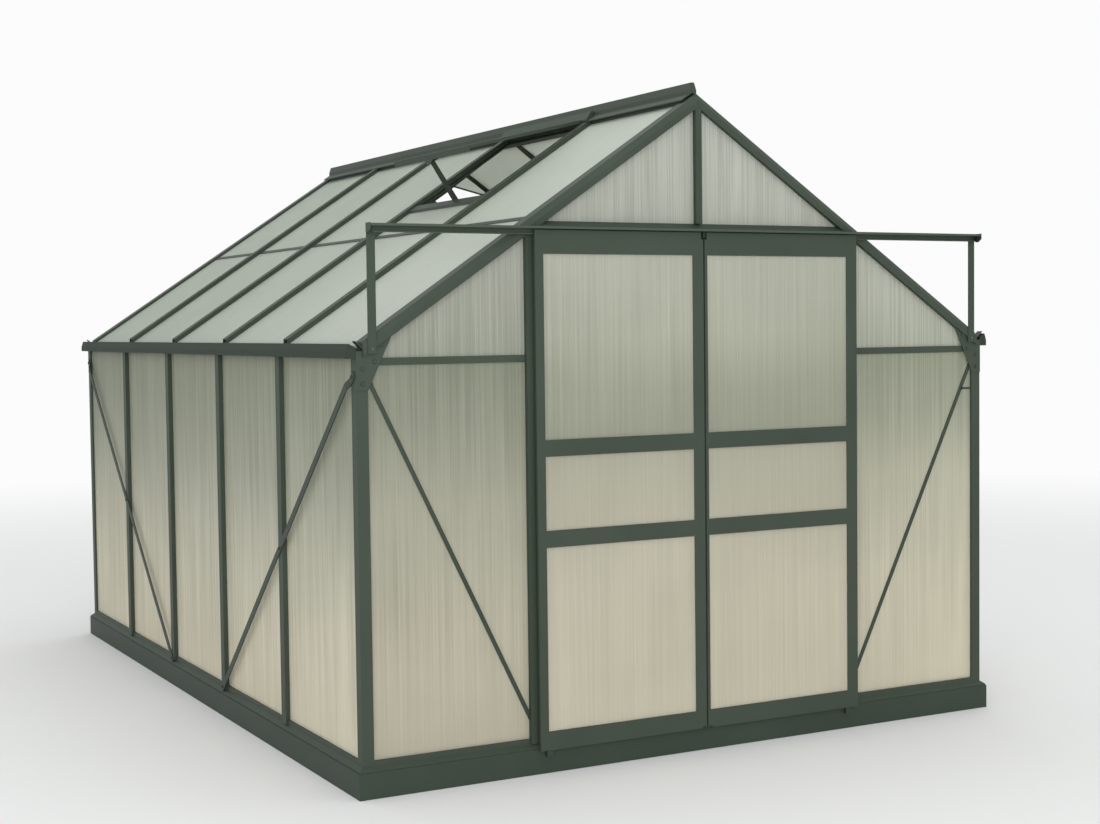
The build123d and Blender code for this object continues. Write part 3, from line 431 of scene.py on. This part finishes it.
def prism(centre, normal, radius, height, sides, turn=0.0, dome=0.0):
    """A bolt head or washer standing on a face at centre, along normal."""
    n = Vector(normal).normalized()
    helper = Vector((0, 0, 1)) if abs(n.z) < 0.9 else Vector((1, 0, 0))
    u = n.cross(helper).normalized()
    v = n.cross(u)
    c = Vector(centre)
    verts, faces = [], []
    rings = [(0.0, radius), (height - dome, radius)]
    if dome:
        rings.append((height, radius * dome_narrow))
    for h, r in rings:
        for i in range(sides):
            a = turn + 2 * math.pi * i / sides
            verts.append(tuple(c + n * h + u * (r * math.cos(a)) + v * (r * math.sin(a))))
    for k in range(len(rings) - 1):
        for i in range(sides):
            j = (i + 1) % sides
            faces.append([k * sides + i, k * sides + j, (k + 1) * sides + j, (k + 1) * sides + i])
    faces.append([(len(rings) - 1) * sides + i for i in range(sides)])
    faces.append([i for i in reversed(range(sides))])
    return verts, faces


def bolt(centre, normal, turn, size=bolt_size):
    """Washer with a hexagon head on it."""
    washer = prism(centre, normal, size * washer_over, washer_thick, washer_sides)
    head_foot = Vector(centre) + Vector(normal).normalized() * washer_thick
    head = prism(head_foot, normal, size, head_high, head_sides, turn, head_dome)
    return [washer, head]


def slab(points, offset):
    """A flat outline carried along offset."""
    count = len(points)
    shift = Vector(offset)
    verts = [tuple(p) for p in points] + [tuple(Vector(p) + shift) for p in points]
    faces = [list(range(count)), list(reversed(range(count, 2 * count)))]
    faces += [[i, i + count, (i + 1) % count + count, (i + 1) % count] for i in range(count)]
    return verts, faces


# Gusset plates: bolts into the rafter, the post and the mid rail, on both gables.
gusset_spots = [(1.229, 1.285), (1.229, 1.330), (1.165, 1.405), (1.188, 1.352)]
bolts = []
for side in (-1, 1):
    for y, out_y in ((front_y - plate, -1), (back_y + plate, 1)):
        for i, (x, z) in enumerate(gusset_spots):
            bolts += bolt((side * x, y, z), (0, out_y, 0), turn=0.3 * i)
mesh_piece("gusset_bolts", bolts, frame_paint, "frame")

# Straps of the track: one bolt through each foot.
strap_bolt_z = 1.392
bolts = []
for side in (-1, 1):
    spot = (side * strap_x, front_y - track_back, strap_bolt_z)
    bolts += bolt(spot, (0, -1, 0), turn=0.2, size=small_bolt)
mesh_piece("strap_bolts", bolts, bolt_paint, "frame")

# Side braces: flat strips over the bars, bent down at the head to lie on the post. Each has a
# bolt at the post, one where it crosses a bar and one at its foot.
brace_head = (0.0195, 1.309)
brace_foot = (end_inset + 2 * bay, 0.103)
brace_wide = 0.024
brace_thick = 0.004
brace_over = 0.010
bend_start = 0.026
bend_end = 0.050
bolt_inset = 0.006
brace_line = Vector((brace_foot[0] - brace_head[0], brace_foot[1] - brace_head[1]))
brace_long = brace_line.length
brace_way = brace_line.normalized()


def brace_point(side, end, along, across, out):
    """A point of a side brace: along and across the strip, and out from the post's face."""
    y = brace_head[0] + brace_way.x * along - brace_way.y * across
    z = brace_head[1] + brace_way.y * along + brace_way.x * across
    return side * (half_width + out), (front_y + y if end < 0 else back_y - y), z


def brace_strip(side, end):
    """Flat end on the post, a bend up to the bars' faces, then straight to the foot."""
    stations = [
        (-brace_over, 0.0),
        (bend_start, 0.0),
        (bend_end, bar_out),
        (brace_long + brace_over, bar_out),
    ]
    section = [(-0.5, 0.0), (0.5, 0.0), (0.5, brace_thick), (-0.5, brace_thick)]
    verts, faces = [], []
    for along, lift in stations:
        for across, out in section:
            verts.append(brace_point(side, end, along, across * brace_wide, lift + out))
    for ring in (0, 4, 8):
        for i in range(4):
            j = (i + 1) % 4
            faces.append([ring + i, ring + j, ring + 4 + j, ring + 4 + i])
    faces += [[0, 3, 2, 1], [12, 13, 14, 15]]
    return verts, faces


corners = [(side, end) for side in (-1, 1) for end in (-1, 1)]
strips = [brace_strip(side, end) for side, end in corners]
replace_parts(mesh_piece("side_brace_strips", strips, brace_paint, "frame"), "side_braces")
brace_bolts = [(bolt_inset, 0.0), (brace_long / 2, bar_out), (brace_long - bolt_inset, bar_out)]
bolts = []
for side, end in corners:
    for along, lift in brace_bolts:
        spot = brace_point(side, end, along, 0.0, lift + brace_thick)
        bolts += bolt(spot, (side, 0, 0), turn=0.4, size=small_bolt)
mesh_piece("brace_bolts", bolts, brace_paint, "frame")

# Track ends: a plate closes the hooded track at each end, with its lower front corner cut off.
track_low, track_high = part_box("door_track")
end_thick = 0.002
end_over = 0.002
cut_high = 0.008
cut_deep = 0.012
end_plates = []
for x in (track_low[0] - end_thick, track_high[0]):
    outline = [
        (x, track_high[1], track_low[2]),
        (x, track_high[1], track_high[2] + end_over),
        (x, track_low[1], track_high[2] + end_over),
        (x, track_low[1], track_low[2] + cut_high),
        (x, track_low[1] + cut_deep, track_low[2]),
    ]
    end_plates.append(slab(outline, (end_thick, 0, 0)))
mesh_piece("track_end_plates", end_plates, frame_paint, "frame")

# Gutter ends: a cap closes the trough at each corner.
cap_thick = 0.003
cap_proud = 0.002
cap_back_drop = 0.012
caps = []
for side in (-1, 1):
    outline = [
        (half_width, wall_height),
        (half_width + gutter_out, wall_height),
        (half_width + gutter_out, wall_height + gutter_skirt),
        (half_width + gutter_out - gutter_lean, wall_height + gutter_rise),
        (half_width, wall_height + gutter_rise - cap_back_drop),
    ]
    for y in (front_y - cap_proud, back_y + cap_proud - cap_thick):
        caps.append(slab([(side * x, y, z) for x, z in outline], (0, cap_thick, 0)))
mesh_piece("gutter_end_caps", caps, gutter_painted_shade, "frame")

# Rafter ends: a thin plate across each foot, a little proud of the rafter.
tip, root = (1.2535, 1.4165), (1.2215, 1.3885)
rafter_end_thick = 0.0025
rafter_end_deep = 0.025
rafter_front = front_y - 0.0098
rafter_rear = back_y - 0.0152
run = Vector((tip[0] - root[0], tip[1] - root[1])).normalized() * rafter_end_thick
plates = []
for side in (-1, 1):
    outline = [root, tip, (tip[0] + run.y, tip[1] - run.x), (root[0] + run.y, root[1] - run.x)]
    for y in (rafter_front, rafter_rear):
        plates.append(slab([(side * x, y, z) for x, z in outline], (0, rafter_end_deep, 0)))
mesh_piece("rafter_end_plates", plates, frame_paint, "frame")

# Door feet: a small dark cap on the lower corner of each meeting stile.
foot_wide = 0.013
foot_high = 0.006
foot_thick = 0.0015
foot_inset = 0.003
for leaf, side in (("left_door", -1), ("right_door", 1)):
    leaf_low, leaf_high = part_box(leaf + "_frame")
    meeting = leaf_high[0] if side < 0 else leaf_low[0]
    near = meeting + side * foot_inset
    far = near + side * foot_wide
    y = leaf_low[1] - foot_thick
    z = leaf_low[2]
    outline = [(near, y, z), (far, y, z), (far, y, z + foot_high), (near, y, z + foot_high)]
    cap = slab(outline, (0, foot_thick, 0))
    mesh_piece(leaf + "_foot_cap", [cap], black, leaf)

# Vent stays: a three-cornered bracket under each sash, at the head of the stay.
rail_along = 0.485
rail_under = 0.021
bracket_out = 0.010
bracket_up = 0.001
bracket_half = 0.045
bracket_tip = 0.006
bracket_drop = 0.024
bracket_thick = 0.0015
sash_tilt = pitch - vent_open
hinge_z = roof_top - math.tan(pitch) * hinge_x + hinge_lift
head_x = hinge_x + rail_along * math.cos(sash_tilt) - rail_under * math.sin(sash_tilt)
head_z = hinge_z - rail_along * math.sin(sash_tilt) - rail_under * math.cos(sash_tilt)
brackets = []
for side, vent_bay in ((-1, 1), (1, 3)):
    y = front_y + end_inset + bay * (vent_bay + 0.5)
    x = side * (head_x + bracket_out)
    z = head_z + bracket_up
    outline = [
        (x, y - bracket_half, z),
        (x, y + bracket_half, z),
        (x, y + bracket_tip, z - bracket_drop),
        (x, y - bracket_tip, z - bracket_drop),
    ]
    brackets.append(slab(outline, (side * bracket_thick, 0, 0)))
mesh_piece("stay_brackets", brackets, brace_paint, "frame")

# Brace clip: a short flat strip that ties the right brace of the front gable to its post.
clip = [(1.160, 1.2015), (1.212, 1.2015), (1.212, 1.2085), (1.1635, 1.2085)]
clip_y = front_y + recess - plate
clip_thick = plate * 0.9
clips = [slab([(x, clip_y, z) for x, z in clip], (0, clip_thick, 0))]
mesh_piece("brace_clip", clips, brace_paint, "frame")


# Stage, light and camera
floor_reach = 60
floor_drop = 0.0005
fade_start = 3.0
fade_end = 11.0


def studio_floor():
    """Plain pale floor that fades into the white ground far from the object."""
    data = bpy.data.meshes.new("studio_floor")
    ends = ((-1, -1), (1, -1), (1, 1), (-1, 1))
    data.from_pydata([(x * floor_reach, y * floor_reach, 0) for x, y in ends], [], [(0, 1, 2, 3)])
    floor = bpy.data.objects.new("studio_floor", data)
    floor.location.z = -floor_drop
    bpy.context.scene.collection.objects.link(floor)
    m, ns, ln = new_material("studio_floor")
    matt = node(ns, "ShaderNodeBsdfDiffuse")
    matt.inputs["Color"].default_value = (0.80, 0.80, 0.79, 1)
    plain = node(ns, "ShaderNodeEmission")
    plain.inputs["Color"].default_value = plain_white
    coord = node(ns, "ShaderNodeTexCoord")
    far = node(ns, "ShaderNodeVectorMath", operation="LENGTH")
    ln.new(coord.outputs["Object"], far.inputs[0])
    fade = map_range(ns, ln, far.outputs["Value"], fade_start, fade_end, kind="SMOOTHSTEP")
    path = node(ns, "ShaderNodeLightPath")
    seen = calc(ns, ln, "MULTIPLY", fade, path.outputs["Is Camera Ray"])
    show(ns, ln, blend(ns, ln, seen, matt.outputs["BSDF"], plain.outputs["Emission"]))
    data.materials.append(m)


def studio_world():
    """Even soft light from all round. The camera sees plain white in its place."""
    world = bpy.data.worlds.new("studio")
    bpy.context.scene.world = world
    world.use_nodes = True
    ns, ln = world.node_tree.nodes, world.node_tree.links
    ns.clear()
    soft = node(ns, "ShaderNodeBackground")
    soft.inputs["Color"].default_value = (0.96, 0.98, 1.0, 1)
    soft.inputs["Strength"].default_value = 0.86
    plain = node(ns, "ShaderNodeBackground")
    plain.inputs["Color"].default_value = plain_white
    seen = node(ns, "ShaderNodeLightPath").outputs["Is Camera Ray"]
    mixed = blend(ns, ln, seen, soft.outputs["Background"], plain.outputs["Background"])
    show(ns, ln, mixed, "ShaderNodeOutputWorld")


def area(name, place, target, size, power, colour=(1, 1, 1)):
    data = bpy.data.lights.new(name, "AREA")
    data.shape = "RECTANGLE"
    data.size, data.size_y = size
    data.energy = power
    data.color = colour
    obj = bpy.data.objects.new(name, data)
    bpy.context.scene.collection.objects.link(obj)
    obj.location = place
    obj.rotation_euler = (Vector(target) - Vector(place)).to_track_quat("-Z", "Y").to_euler()


camera_place = (-3.22968, -6.61915, 1.454)
camera_angles = (28.3085, -2.7734, 0.7019)
camera_lens = 56.521
camera_shift = (-0.0006, -0.0018)


def photo_camera():
    """The camera at the photograph's view. Its angles are the turn, the tilt and the roll."""
    yaw, tilt, roll = (math.radians(a) for a in camera_angles)
    ahead = Vector((math.sin(yaw) * math.cos(tilt), math.cos(yaw) * math.cos(tilt), math.sin(tilt)))
    level = Vector((math.cos(yaw), -math.sin(yaw), 0))
    down = ahead.cross(level)
    right = level * math.cos(roll) + down * math.sin(roll)
    below = down * math.cos(roll) - level * math.sin(roll)
    data = bpy.data.cameras.new("photo_view")
    data.sensor_width = 36.0
    data.lens = camera_lens
    data.shift_x, data.shift_y = camera_shift
    data.clip_end = 200.0
    camera = bpy.data.objects.new("photo_view", data)
    bpy.context.scene.collection.objects.link(camera)
    turn = Matrix((right, -below, -ahead)).transposed()
    camera.matrix_world = Matrix.Translation(camera_place) @ turn.to_4x4()
    bpy.context.scene.camera = camera


studio_floor()
studio_world()
area(
    "key", place=(-3.0, -7.5, 7.0), target=(0, 0, 0.9), size=(6.0, 5.0), power=90,
    colour=(1.0, 0.99, 0.97),
)
area("low_fill", place=(-4.5, -9.5, 2.2), target=(0, -1.0, 1.0), size=(7.0, 3.5), power=330)
area("top", place=(1.0, 1.0, 8.0), target=(0, 0, 1.5), size=(6.0, 6.0), power=120)
photo_camera()
bpy.context.scene.view_settings.view_transform = "Standard"
